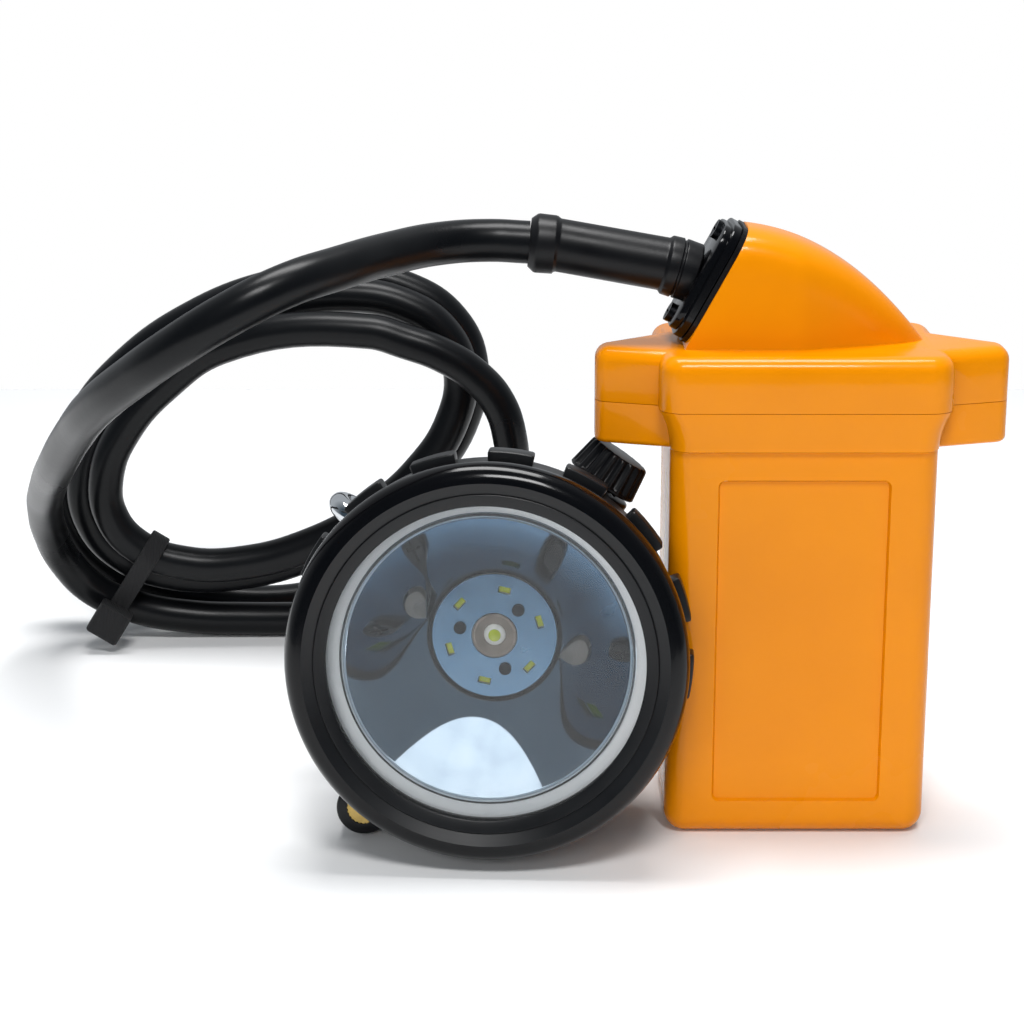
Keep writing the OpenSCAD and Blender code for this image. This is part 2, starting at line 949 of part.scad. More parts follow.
// Knurled brass stud, flush in front and standing proud at the back of its lug
module charge_contact() {
    knurls = 24;
    color("gold")
        in_head()
            rotate([0, 0, contact_angle])
                translate([contact_at_r, 0, contact_back])
                    difference() {
                        cylinder(r = contact_r, h = contact_front - contact_back - 0.2);
                        for (k = [0 : knurls - 1])
                            rotate([0, 0, 360 * k / knurls])
                                translate([contact_r + 0.1, 0, contact_front - contact_back - 1])
                                    cylinder(r = 0.3, h = 2, $fn = 16);
                    }
}

// Plate on the housing's back with a welded bar, bent over to hang on a helmet bracket
module helmet_hook() {
    color("silver")
        in_head() {
            difference() {
                translate([0, 12, housing_back - hook_plate_t])
                    rounded_block(12, 13, 3, hook_plate_t);
                for (p = hook_screw_places)
                    translate([p[0], p[1], housing_back - 4])
                        cylinder(r = 1.5, h = 5);
            }
            translate([0, 6, hook_leg_z])
                rotate([-90, 0, 0])
                    cylinder(r = hook_rod_r, h = hook_bend_y - 6);
            translate([0, hook_bend_y, hook_leg_z - hook_bend_r])
                rotate([0, 90, 0])
                    rotate_extrude(angle = 180)
                        translate([hook_bend_r, 0])
                            circle(r = hook_rod_r);
            translate([0, 16, hook_leg_z - 2 * hook_bend_r]) {
                rotate([-90, 0, 0])
                    cylinder(r = hook_rod_r, h = hook_bend_y - 16);
                sphere(r = hook_rod_r);
            }
        }
}

module hook_screws() {
    color("silver")
        in_head()
            for (p = hook_screw_places)
                translate([p[0], p[1], housing_back - hook_plate_t])
                    rotate([180, 0, 0])
                        pan_screw(1.5, 4, 2.6, 1.3);
}

module head_gland_nut() {
    color(black)
        in_head()
            translate([0, gland_y, head_nut_z])
                difference() {
                    cylinder(r = 8.8, h = head_gland_z - head_nut_z, $fn = 6);
                    translate([0, 0, -1])
                        cylinder(r = 5.4, h = 10);
                }
}

module head_grommet() {
    color("black")
        in_head()
            translate([0, gland_y, head_nut_z])
                difference() {
                    cylinder(r = 5.4, h = housing_back + 2.2 - head_nut_z);
                    translate([0, 0, -1])
                        cylinder(r = 1.8, h = 20);
                }
}

module head_boot() {
    color(black)
        in_head()
            translate([0, gland_y, head_boot_z])
                cylinder(r1 = 5.4, r2 = 6.6, h = head_nut_z - head_boot_z);
}

module head_leads() {
    color("firebrick")
        in_head()
            for (s = [-1, 1])
                swept([
                    [s * 0.9, gland_y, head_nut_z + 0.5], [s * 0.9, gland_y, housing_back + 0.5],
                    [s * 1.2, gland_y + 1.5, housing_back + 4], [s * 2, gland_y + 5, housing_back + 7.5],
                    [s * 3, gland_y + 10.5, -35.4]
                ], [for (k = [0 : 4]) 0.8], 8);
}

battery_case();
case_cover();
cover_gasket();
cover_screws();
cell_front();
cell_rear();
cell_pad();
cell_tabs();
protection_board();
fuse();
battery_leads();
belt_loop();
belt_loop_screws();
gland_seal();
gland_plate();
gland_screws();
cable_boot();
cord_feed();
cord_return();
cord_coil();
cord_tail();
cord_tie();
lamp_housing();
bezel_ring();
front_lens();
lens_seal();
trim_ring();
reflector();
led_disc();
led_board();
main_led();
led_collar();
aux_leds();
disc_screws();
heat_sink();
driver_board();
switch_body();
switch_shaft();
switch_seal();
switch_knob();
charge_contact();
helmet_hook();
hook_screws();
head_gland_nut();
head_grommet();
head_boot();
head_leads();
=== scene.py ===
"""Looks of a miner's cap lamp: belt battery pack, coiled rubber cord and cap headpiece."""

import math

import bmesh
import bpy
from mathutils import Matrix, Vector


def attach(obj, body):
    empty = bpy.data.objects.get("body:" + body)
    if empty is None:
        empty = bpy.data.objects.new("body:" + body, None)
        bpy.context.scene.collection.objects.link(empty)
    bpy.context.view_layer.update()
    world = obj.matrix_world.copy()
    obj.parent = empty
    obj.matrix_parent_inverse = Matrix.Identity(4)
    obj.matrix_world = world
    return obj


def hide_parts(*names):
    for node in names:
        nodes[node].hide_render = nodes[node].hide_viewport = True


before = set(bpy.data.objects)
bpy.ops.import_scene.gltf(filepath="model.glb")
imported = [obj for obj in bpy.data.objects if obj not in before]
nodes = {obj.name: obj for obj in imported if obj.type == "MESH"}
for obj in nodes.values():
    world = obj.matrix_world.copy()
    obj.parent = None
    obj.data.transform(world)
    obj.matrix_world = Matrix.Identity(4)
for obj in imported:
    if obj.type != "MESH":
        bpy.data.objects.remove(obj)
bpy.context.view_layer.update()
scene = bpy.context.scene

MM = 0.001

# ---- camera ----

EYE = (-61, -521.6, 212)
EYE_TILT = 15.5  # degrees below level
LENS = 87.890625  # focal length for the sensor's width
SENSOR_WIDTH = 36.0
NEAREST = 10
eye = bpy.data.objects.new("camera", bpy.data.cameras.new("camera"))
eye.location = Vector(EYE) * MM
eye.rotation_euler = (math.radians(90 - EYE_TILT), 0, 0)
eye.data.sensor_width = SENSOR_WIDTH
eye.data.lens = LENS
eye.data.clip_start = NEAREST * MM
scene.collection.objects.link(eye)
scene.camera = eye

# ---- sizes shared with the CAD source, in millimetres ----

HALF_W = 28.0
HALF_D = 19.0
SEAM_Z = 94.0
HALF_SEAM = 0.06
CASE_TOP = SEAM_Z - HALF_SEAM
COVER_BOTTOM = SEAM_Z + HALF_SEAM
STEP_Z = SEAM_Z - 8.5
COVER_TOP = SEAM_Z + 11.5
COVER_HW = 30.5
COVER_HD = 21.0
COVER_EDGE = 3.2
WALL = 2.5
CASE_R = 4.5
PANEL_HW = 18.05
PANEL_HH = 35.75
PANEL_Z = 43.65
PANEL_DEPTH = 0.5
LUG_BOTTOM = 85.0
LUG_TIP = 43.5
LUG_SCREW = (36.0, -3.5)
SCREW_R = 1.7
SCREW_HEAD_R = 3.4
HUMP_START = -20.0
HUMP_END = 26.4
HUMP_RISE = 25.2
HUMP_HD = 11.3
HUMP_CROWN = 9.0
GLAND_AT = (-18.35, 0, 117.75)
GLAND_LEAN = 28.5
GLAND_SCREW_AT = 10.0
GLAND_SCREW_R = 1.3
GLAND_TOP = 4.6

HEAD_AT = (-66.2, -31.8, 44.2)
HEAD_TILT = 6.2
HEAD_YAW = 3.2
HEAD_ROLL = 56.0
PACK = Matrix.Identity(4)
HEAD = (Matrix.Translation(HEAD_AT)
        @ Matrix.Rotation(math.radians(-HEAD_YAW), 4, "Z")
        @ Matrix.Rotation(math.radians(90 - HEAD_TILT), 4, "X")
        @ Matrix.Rotation(math.radians(HEAD_ROLL), 4, "Z"))
GLAND = Matrix.Translation(GLAND_AT) @ Matrix.Rotation(math.radians(GLAND_LEAN - 90), 4, "Y")
ALONG_X = Matrix.Rotation(math.radians(90), 4, "Y")

CORD_D = 9.0
FEED_ROUTE = [
    (-57.3, 0, 126.2), (-66, 0, 126.6), (-76, -4, 126.6), (-86, -13, 126), (-96, -25, 125),
    (-106, -34, 123), (-117, -38, 118), (-128, -36, 111), (-138, -27, 103), (-148, -11, 93.5),
    (-157, 12, 82), (-166, 38, 68.5), (-173.5, 64, 56), (-178.7, 86, 44.5), (-180.3, 100, 34),
    (-178.5, 108.5, 24), (-172, 113.5, 14.5), (-161, 116.5, 8.5), (-147, 118.3, 5.4), (-132, 119, 4.6),
]
RETURN_ROUTE = [
    (-117, 119, 4.6), (-102, 119, 4.6), (-89, 120.5, 4.6), (-79.5, 126.5, 4.6), (-76, 136, 4.6),
    (-80.5, 145, 4.6), (-91, 148.5, 4.6), (-103, 145.5, 4.6), (-115, 139, 4.6), (-128, 133.5, 4.8),
    (-142, 131, 6.5), (-156.5, 130, 10.8),
]
TAIL_ROUTE = [
    (-97.5, 104.6, 86.1), (-88, 104.2, 83.5), (-79, 104, 80.2), (-70.5, 104, 74.7), (-64.4, 104, 67.4),
    (-61.5, 104.4, 58), (-60.8, 105.5, 47), (-60.6, 106, 35), (-60.2, 103, 23.5), (-58.8, 95.5, 13.5),
    (-56.4, 84.5, 6.8), (-53.3, 74, 4.8), (-50, 65, 8.5), (-47, 55, 15), (-44.9, 45.5, 21.2),
    (-44.1, 36.35, 24.3),
]
COIL_CENTRE = (-126.0, 127.1, 54.6)
COIL_DRIFT = (2.2, -8.6, 1.3)  # how far the centre moves with each turn
COIL_LEAN = 27.1
COIL_LONG = 60.1  # the first turn's long and short half axes, and what each turn takes off them
COIL_SHORT = 37.5
COIL_LONG_LESS = 5.2
COIL_SHORT_LESS = 4.1
COIL_FIRST = 199.0
COIL_SWEEP = 826.0
COIL_POINTS = 39


def coil_route():
    """The turns of the coil, clockwise as seen from the front, each inside and in front of the last."""
    lean = math.radians(COIL_LEAN)
    route = []
    for k in range(COIL_POINTS + 1):
        turns = COIL_SWEEP * k / COIL_POINTS / 360
        angle = math.radians(COIL_FIRST) - 2 * math.pi * turns
        x = (COIL_LONG - COIL_LONG_LESS * turns) * math.cos(angle)
        z = (COIL_SHORT - COIL_SHORT_LESS * turns) * math.sin(angle)
        route.append((COIL_CENTRE[0] + COIL_DRIFT[0] * turns + x * math.cos(lean) - z * math.sin(lean),
                      COIL_CENTRE[1] + COIL_DRIFT[1] * turns,
                      COIL_CENTRE[2] + COIL_DRIFT[2] * turns + x * math.sin(lean) + z * math.cos(lean)))
    return route


# ---- shapes ----

def arc(cx, cy, r, first, last, steps):
    """Points of an arc, from one angle in degrees to another."""
    angles = [math.radians(first + (last - first) * k / steps) for k in range(steps + 1)]
    return [(cx + r * math.cos(a), cy + r * math.sin(a)) for a in angles]


EASE_STEPS = 5


def eased(corners, steps=EASE_STEPS):
    """Closed outline through corners (x, y, radius) with each corner rounded."""
    outline = []
    for i, (x, y, radius) in enumerate(corners):
        here = Vector((x, y))
        back = Vector(corners[i - 1][:2]) - here
        on = Vector(corners[(i + 1) % len(corners)][:2]) - here
        if radius == 0 or back.length < 1e-6 or on.length < 1e-6:
            outline.append((x, y))
            continue
        half = back.angle(on) / 2
        reach = min(radius / math.tan(half), 0.45 * back.length, 0.45 * on.length)
        centre = here + (back.normalized() + on.normalized()).normalized() * reach / math.cos(half)
        start = here + back.normalized() * reach - centre
        end = here + on.normalized() * reach - centre
        first = math.atan2(start.y, start.x)
        turn = math.atan2(start.x * end.y - start.y * end.x, start.dot(end))
        for k in range(steps + 1):
            a = first + turn * k / steps
            outline.append((centre.x + start.length * math.cos(a),
                            centre.y + start.length * math.sin(a)))
    return outline


def wrapped(circles, steps=96, inset=0.0):
    """Outline of a band stretched round circles (x, y, r), drawn in by inset."""
    outline = []
    for k in range(steps):
        a = 2 * math.pi * (k + 0.5) / steps
        d = (math.cos(a), math.sin(a))
        x, y, r = max(circles, key=lambda c: c[0] * d[0] + c[1] * d[1] + c[2])
        outline.append((x + (r - inset) * d[0], y + (r - inset) * d[1]))
    return outline


def corners(hw, hd, r):
    """The four corner circles of a rounded rectangle."""
    return [(sx * (hw - r), sy * (hd - r), r) for sx in (1, -1) for sy in (1, -1)]


def edge_round(radius, steps):
    """Pairs (distance from the face, inset) of a rounded edge, from its side to its face."""
    angles = [math.radians(90 * k / steps) for k in range(steps + 1)]
    return [(radius * (1 - math.sin(a)), radius * (1 - math.cos(a))) for a in angles]


def plug(reach, low, high):
    """Closed (radius, height) outline of a plain round bar."""
    return [(0, low), (reach, low), (reach, high), (0, high)]


def piece(name, points, faces, place=PACK):
    """A mesh from points in millimetres in a placed frame."""
    mesh = bpy.data.meshes.new(name)
    mesh.from_pydata([(place @ Vector(p)) * MM for p in points], [], faces)
    shape = bmesh.new()
    shape.from_mesh(mesh)
    bmesh.ops.remove_doubles(shape, verts=shape.verts, dist=1e-7)
    bmesh.ops.recalc_face_normals(shape, faces=shape.faces)
    shape.to_mesh(mesh)
    shape.free()
    obj = bpy.data.objects.new(name, mesh)
    scene.collection.objects.link(obj)
    return obj


def loft(name, rings, place=PACK):
    """A closed solid through rings of the same number of points."""
    n = len(rings[0])
    points = [p for ring in rings for p in ring]
    faces = [tuple(range(n)), tuple((len(rings) - 1) * n + i for i in range(n))]
    for j in range(len(rings) - 1):
        for i in range(n):
            a, b = j * n + i, j * n + (i + 1) % n
            faces.append((a, b, b + n, a + n))
    return piece(name, points, faces, place)


def levels(outline_at, heights):
    """Rings of an outline function at (height, inset) pairs."""
    return [[(x, y, z) for x, y in outline_at(inset)] for z, inset in heights]


def lathe(name, outline, place=PACK, steps=128):
    """A solid turned from a closed outline of (radius, height)."""
    m = len(outline)
    points = []
    for k in range(steps):
        a = 2 * math.pi * k / steps
        points += [(r * math.cos(a), r * math.sin(a), z) for r, z in outline]
    faces = []
    for k in range(steps):
        for i in range(m):
            a, b = k * m + i, k * m + (i + 1) % m
            c, d = ((k + 1) % steps) * m + (i + 1) % m, ((k + 1) % steps) * m + i
            if outline[i][0] + outline[(i + 1) % m][0] > 1e-9:
                faces.append((a, b, c, d))
    return piece(name, points, faces, place)


def sweep(name, path, radii, sides=32, place=PACK):
    """A round rod along a path with a radius for each point."""
    path = [Vector(p) for p in path]
    across = Vector((0.1, 0.9, 0.4))
    rings = []
    for i, p in enumerate(path):
        heading = (path[min(i + 1, len(path) - 1)] - path[max(i - 1, 0)]).normalized()
        across = (across - across.dot(heading) * heading).normalized()
        up = heading.cross(across)
        rings.append([p + radii[i] * (math.cos(2 * math.pi * k / sides) * across
                                      + math.sin(2 * math.pi * k / sides) * up) for k in range(sides)])
    return loft(name, rings, place)


def keep_result(obj):
    """Makes what the modifiers give the piece's own mesh."""
    bpy.context.view_layer.update()
    evaluated = obj.evaluated_get(bpy.context.evaluated_depsgraph_get())
    shaped = bpy.data.meshes.new_from_object(evaluated)
    old = obj.data
    obj.modifiers.clear()
    obj.data = shaped
    bpy.data.meshes.remove(old)


def combine(obj, operation, *tools):
    """Unites the piece with tools, or cuts them out of it."""
    for tool in tools:
        step = obj.modifiers.new("combine", "BOOLEAN")
        step.operation = operation
        step.solver = "EXACT"
        step.object = tool
        keep_result(obj)
        bpy.data.objects.remove(tool)


def joined(obj, *others):
    """Adds other meshes to the piece as they are."""
    shape = bmesh.new()
    shape.from_mesh(obj.data)
    for other in others:
        shape.from_mesh(other.data)
        bpy.data.objects.remove(other)
    shape.to_mesh(obj.data)
    shape.free()


def softened(obj, width, angle=32.0, segments=3):
    """Rounds the piece's sharp edges by a width in millimetres."""
    step = obj.modifiers.new("edges", "BEVEL")
    step.width = width * MM
    step.segments = segments
    step.limit_method = "ANGLE"
    step.angle_limit = math.radians(angle)
    step.use_clamp_overlap = True
    keep_result(obj)


def finished(obj, material, body, slot, *replaced, crease=38.0):
    """Smooth shading, finish, body and the CAD nodes that the piece stands for; slot is not used."""
    obj.data.shade_smooth()
    obj.data.set_sharp_from_angle(angle=math.radians(crease))
    obj.data.materials.clear()
    for m in material if isinstance(material, list) else [material]:
        obj.data.materials.append(m)
    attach(obj, body)
    if replaced:
        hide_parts(*replaced)
    return obj


def second_finish(obj, chosen):
    """Gives a turned piece of the headpiece its second material where chosen(radius, height) holds."""
    to_head = HEAD.inverted()
    for face in obj.data.polygons:
        local = to_head @ (face.center / MM)
        face.material_index = 1 if chosen(math.hypot(local.x, local.y), local.z) else 0


# ---- finishes ----

def colour(code, alpha=1.0):
    """Linear colour of an sRGB hex value."""
    parts = [int(code[i:i + 2], 16) / 255 for i in (1, 3, 5)]
    return [c / 12.92 if c <= 0.04045 else ((c + 0.055) / 1.055) ** 2.4 for c in parts] + [alpha]


def add(tree, kind, settings=None, links=None):
    """Adds a node, sets its properties and inputs, and links its inputs."""
    made = tree.nodes.new(kind)
    for key, value in (settings or {}).items():
        if hasattr(made, key):
            setattr(made, key, value)
        else:
            made.inputs[key].default_value = value
    for key, socket in (links or {}).items():
        tree.links.new(socket, made.inputs[key])
    return made


DRIFT_SPAN = (0.3, 0.7)  # between these the noise goes from the first tone to the second


def finish(name, tones, roughness, patch, grain, relief, texture="ShaderNodeTexNoise",
           stretch=(1, 1, 1), **shader_settings):
    """A finish whose tone and roughness drift over patch mm, with a grain and its relief in mm."""
    material = bpy.data.materials.new(name)
    material.use_nodes = True
    tree = material.node_tree
    shader = tree.nodes["Principled BSDF"]
    place = add(tree, "ShaderNodeTexCoord")
    drift = add(tree, "ShaderNodeTexNoise", {"Scale": 1 / (patch * MM), "Detail": 4.0},
                {"Vector": place.outputs["Object"]})
    tone = add(tree, "ShaderNodeValToRGB", None, {"Fac": drift.outputs["Fac"]})
    for element, position, code in zip(tone.color_ramp.elements, DRIFT_SPAN, tones):
        element.position = position
        element.color = colour(code)
    wear = add(tree, "ShaderNodeMapRange",
               {"From Min": DRIFT_SPAN[0], "From Max": DRIFT_SPAN[1],
                "To Min": roughness[0], "To Max": roughness[1]},
               {"Value": drift.outputs["Fac"]})
    turned = add(tree, "ShaderNodeMapping", {"Scale": stretch}, {"Vector": place.outputs["Object"]})
    fine = add(tree, texture, {"Scale": 1 / (grain * MM)}, {"Vector": turned.outputs["Vector"]})
    height = fine.outputs["Distance"] if texture == "ShaderNodeTexVoronoi" else fine.outputs["Fac"]
    raised = add(tree, "ShaderNodeBump", {"Strength": 1.0, "Distance": relief * MM}, {"Height": height})
    tree.links.new(tone.outputs["Color"], shader.inputs["Base Color"])
    tree.links.new(wear.outputs["Result"], shader.inputs["Roughness"])
    tree.links.new(raised.outputs["Normal"], shader.inputs["Normal"])
    for key, value in shader_settings.items():
        socket = key.replace("_", " ").title().replace("Ior", "IOR")
        shader.inputs[socket].default_value = value
    return material


# Moulded ABS, polished mould: deep orange with the faint orange-peel of a moulding
orange_abs = finish("moulded_abs_orange", ("#E08400", "#E98C00"), (0.2, 0.3), 40, 2.2, 0.004,
                    coat_weight=0.25, coat_roughness=0.08, specular_ior_level=0.1)
# Moulded ABS as it leaves a polished mould: wet-looking black
gloss_abs = finish("moulded_abs_gloss_black", ("#060608", "#0A0A0C"), (0.12, 0.18), 25, 1.6, 0.002,
                   coat_weight=0.08, coat_roughness=0.06, specular_ior_level=0.2)
# Moulded polycarbonate with a fine spark-eroded texture: soft satin black
satin_pc = finish("moulded_polycarbonate_satin_black", ("#0B0B0D", "#111113"), (0.28, 0.38),
                  30, 0.5, 0.012, specular_ior_level=0.35)
# Moulded polycarbonate from a blasted mould: duller than the housing, so the bezel's bevel looks grey
matte_pc = finish("moulded_polycarbonate_blasted", ("#0C0C0E", "#121315"), (0.34, 0.44), 18, 0.35, 0.008,
                  specular_ior_level=0.35)
# Moulded glass-filled nylon: black with a faint fibre grain
nylon = finish("glass_filled_nylon_black", ("#08080A", "#0E0E10"), (0.3, 0.4), 12, 0.6, 0.012,
               specular_ior_level=0.28)
# Extruded chloroprene cable sheath: smooth black with a dull shine and slight ripples
sheath = finish("chloroprene_cable_sheath", ("#090A0C", "#0F1012"), (0.26, 0.34), 30, 3.0, 0.02,
                specular_ior_level=0.2)
# Vulcanised rubber from a plain mould: matte black with a dusty bloom
rubber = finish("vulcanised_rubber", ("#08080A", "#0E0E10"), (0.32, 0.42), 14, 0.8, 0.012,
                specular_ior_level=0.25)
# Moulded silicone gasket: a darker, duller orange than the case
silicone = finish("silicone_gasket_orange", ("#C06A04", "#CC7408"), (0.45, 0.55), 10, 0.8, 0.01)
# Woven polyamide webbing: dull black with 1.2 mm ribs
webbing = finish("woven_polyamide_webbing", ("#0D0D0F", "#161618"), (0.6, 0.75), 8, 1.2, 0.18,
                 texture="ShaderNodeTexWave")
# Satin painted moulding: light grey trim
trim_grey = finish("satin_moulded_grey", ("#F2F6F8", "#FCFDFD"), (0.25, 0.35), 20, 0.5, 0.01)
# Aluminium vapour on lacquer: a mirror with a faint haze
metallised = finish("vacuum_metallised_lacquer", ("#D4E0EA", "#E6EFF6"), (0.02, 0.03), 9, 9.0, 0.001,
                    metallic=1.0)
# Anodised aluminium, blue-grey and polished
anodised = finish("anodised_aluminium_blue_grey", ("#5C7C98", "#6C8CA8"), (0.2, 0.28), 6, 0.4, 0.003,
                  metallic=1.0)
# Machined aluminium: light grey with 0.4 mm tool marks
machined = finish("machined_aluminium", ("#B9BCC0", "#C9CCCF"), (0.28, 0.4), 10, 0.4, 0.01,
                  texture="ShaderNodeTexWave", metallic=1.0)
# Chrome plate over polished steel: a bright mirror
chrome = finish("chrome_plated_steel", ("#C9CCD0", "#DADDE0"), (0.05, 0.1), 12, 2.0, 0.004, metallic=1.0)
# Steel blackened in a hot bath: dark grey metal
blackened = finish("blackened_steel", ("#1E1F21", "#2A2B2E"), (0.3, 0.42), 3, 0.3, 0.006, metallic=1.0)
# Zinc-plated steel: bright grey, slightly cloudy
zinc = finish("zinc_plated_steel", ("#8F9296", "#A9ACAF"), (0.24, 0.38), 3, 0.3, 0.008, metallic=1.0)
# Turned brass, slightly tarnished
brass = finish("turned_brass", ("#B99A55", "#CFB472"), (0.24, 0.36), 4, 0.25, 0.01, metallic=1.0)
# Rolled nickel strip: warm grey metal with roll lines along it
nickel = finish("rolled_nickel_strip", ("#B4B1A8", "#C5C2BA"), (0.25, 0.35), 6, 0.3, 0.004,
                stretch=(1, 8, 1), metallic=1.0)
# Deep-drawn aluminium can with draw lines that run up it
cell_can = finish("drawn_aluminium_can", ("#A5B1BD", "#B9C3CC"), (0.3, 0.4), 20, 0.5, 0.006,
                  stretch=(8, 8, 1), metallic=1.0)
# Closed-cell foam: matte dark grey with 0.8 mm bubbles
foam = finish("closed_cell_foam", ("#2B2B2D", "#3A3A3D"), (0.8, 0.92), 6, 0.8, 0.12,
              texture="ShaderNodeTexVoronoi")
# Green solder mask over copper: glossy, with the traces raised under it
mask_green = finish("solder_mask_green", ("#0B4A2B", "#17663C"), (0.25, 0.4), 4, 1.4, 0.03,
                    texture="ShaderNodeTexVoronoi")
# White solder mask over an aluminium board: bright and even
mask_white = finish("solder_mask_white", ("#DADCD6", "#ECEDE8"), (0.3, 0.42), 5, 1.4, 0.02,
                    texture="ShaderNodeTexVoronoi")
# Extruded PVC wire insulation: red with a dull shine
wire = finish("pvc_wire_insulation", ("#8E1410", "#A81C16"), (0.35, 0.45), 8, 0.8, 0.02)
# Phosphor under clear silicone: greenish yellow, wet surface
phosphor = finish("phosphor_in_silicone", ("#A4B010", "#BEC622"), (0.2, 0.3), 1.5, 0.5, 0.005,
                  coat_weight=0.15, coat_roughness=0.05, subsurface_weight=0.1)
# Heat-resistant moulding round the light source: brownish grey
collar_lcp = finish("liquid_crystal_polymer_brown", ("#746B63", "#8C837A"), (0.35, 0.5), 3, 0.3, 0.01)
# Dipped epoxy coating of the fuse: yellow and slightly glossy
fuse_epoxy = finish("epoxy_coating_yellow", ("#C08A1C", "#D59E2A"), (0.3, 0.4), 3, 0.5, 0.01)
# Moulded PBT of the switch: dull dark grey
pbt = finish("moulded_pbt_grey", ("#3A3B3E", "#46474A"), (0.4, 0.5), 6, 0.4, 0.01)
# Hard-coated polycarbonate window: clear, reflecting more towards its edge
window = finish("hard_coated_polycarbonate_window", ("#F6F9FA", "#FFFFFF"), (0.015, 0.03), 30, 8.0, 0.001)
window_tree = window.node_tree
edge_on = add(window_tree, "ShaderNodeFresnel", {"IOR": 1.5})
window_tree.links.new(edge_on.outputs["Fac"], window_tree.nodes["Principled BSDF"].inputs["Alpha"])
# Backdrop paper: plain matte white
paper = finish("matte_backdrop_paper", ("#F1F1F1", "#F4F4F4"), (0.85, 0.9), 300, 2.0, 0.01)

# ---- cord ----

whole_route = FEED_ROUTE + RETURN_ROUTE + coil_route() + TAIL_ROUTE
line = bpy.data.curves.new("cord", "CURVE")
line.dimensions = "3D"
line.bevel_depth = CORD_D / 2 * MM
line.bevel_resolution = 7
line.resolution_u = 8
line.use_fill_caps = True
spline = line.splines.new("BEZIER")
spline.bezier_points.add(len(whole_route) - 1)
for knot, place in zip(spline.bezier_points, whole_route):
    knot.co = Vector(place) * MM
    knot.handle_left_type = "AUTO"
    knot.handle_right_type = "AUTO"
line.materials.append(sheath)
cord = bpy.data.objects.new("cord", line)
scene.collection.objects.link(cord)
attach(cord, "lamp")
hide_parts("cord_feed", "cord_return", "cord_coil", "cord_tail")

# Band drawn tight round every strand of the bundle, with its block at the outer end on the floor
TIE_AT = (-160.4, 120.5, 18.7)
TIE_LEAN = 32
TIE_REACH = 28
TIE_HALF_W = 2.5
TIE_T = 1.2
TIE_EASE = 0.3
TIE = Matrix.Translation(TIE_AT) @ Matrix.Rotation(math.radians(TIE_LEAN), 4, "Y")
STRAND_STEPS = 12


def between(before, a, b, after, t):
    """A point on the smooth curve from a to b through their neighbours."""
    return 0.5 * (2 * a + (b - before) * t + (2 * before - 5 * a + 4 * b - after) * t * t
                  + (3 * a - before - 3 * b + after) * t ** 3)


def strands_through(frame_of_band, reach):
    """Where the cord passes through the band's plane, within a reach in millimetres."""
    route = [frame_of_band.inverted() @ Vector(p) for p in whole_route]
    found = []
    for i in range(1, len(route) - 2):
        for k in range(STRAND_STEPS):
            here = between(*route[i - 1:i + 3], k / STRAND_STEPS)
            there = between(*route[i - 1:i + 3], (k + 1) / STRAND_STEPS)
            if here.x * there.x <= 0 and here.length < reach:
                found.append((here.z, here.y, CORD_D / 2))
    return found


def band_ring(at, inset):
    """Outline of the band in its own plane, at a place along the bundle."""
    return [(at, y, z) for z, y in wrapped(strands, 120, inset)]


strands = strands_through(TIE, TIE_REACH)
band_section = [(-TIE_HALF_W, TIE_EASE - TIE_T), (TIE_EASE - TIE_HALF_W, -TIE_T),
                (TIE_HALF_W - TIE_EASE, -TIE_T), (TIE_HALF_W, TIE_EASE - TIE_T)]
band = loft("band_blank", [band_ring(at, inset) for at, inset in band_section], TIE)
band_hole = loft("band_hole", [band_ring(at, 0.05) for at in (-5, 5)], TIE)
combine(band, "DIFFERENCE", band_hole)
block_levels = [(-16.7, 0.5), (-16.3, 0.1), (-16, 0), (-8.6, 0), (-8.2, 0.1), (-7.9, 0.5)]
head_block = loft("tie_head", levels(lambda i: wrapped(corners(4.5, 2.8, 0.9), 32, i), block_levels),
                  TIE @ Matrix.Translation((0, -15.6, 0)))
joined(band, head_block)
band.name = "cord_band"
finished(band, webbing, "lamp", "tie_strap", "cord_tie")

# ---- battery pack ----

LUG_TIP_R = 3.2
LUG = [(26, -8, 6), (26, 4, 6), (LUG_TIP - LUG_TIP_R, -6.4, LUG_TIP_R),
       (LUG_TIP - LUG_TIP_R, -3.6, LUG_TIP_R)]
TOP_EASE = 3.0
BOTTOM_EASE = 1.2


def lug(name, side, low, high, round_top):
    """A side lug with its outer edge rounded at the top or at the bottom."""
    posts = [(side * x, y, r) for x, y, r in LUG]
    bend = edge_round(TOP_EASE if round_top else BOTTOM_EASE, 6)
    if round_top:
        heights = [(low, 0.0)] + [(high - rise, inset) for rise, inset in bend]
    else:
        heights = [(low + rise, inset) for rise, inset in reversed(bend)] + [(high, 0.0)]
    return loft(name, levels(lambda i: wrapped(posts, 64, i), heights))


def both_lugs(low, high, round_top):
    """The right and the left lug."""
    return [lug("lug", side, low, high, round_top) for side in (1, -1)]


def cells_room(low, high):
    """The room inside the pack between two heights."""
    inside = corners(HALF_W - WALL, HALF_D - WALL, 2)
    return loft("cavity", levels(lambda i: wrapped(inside, 32, i), [(low, 0), (high, 0)]))


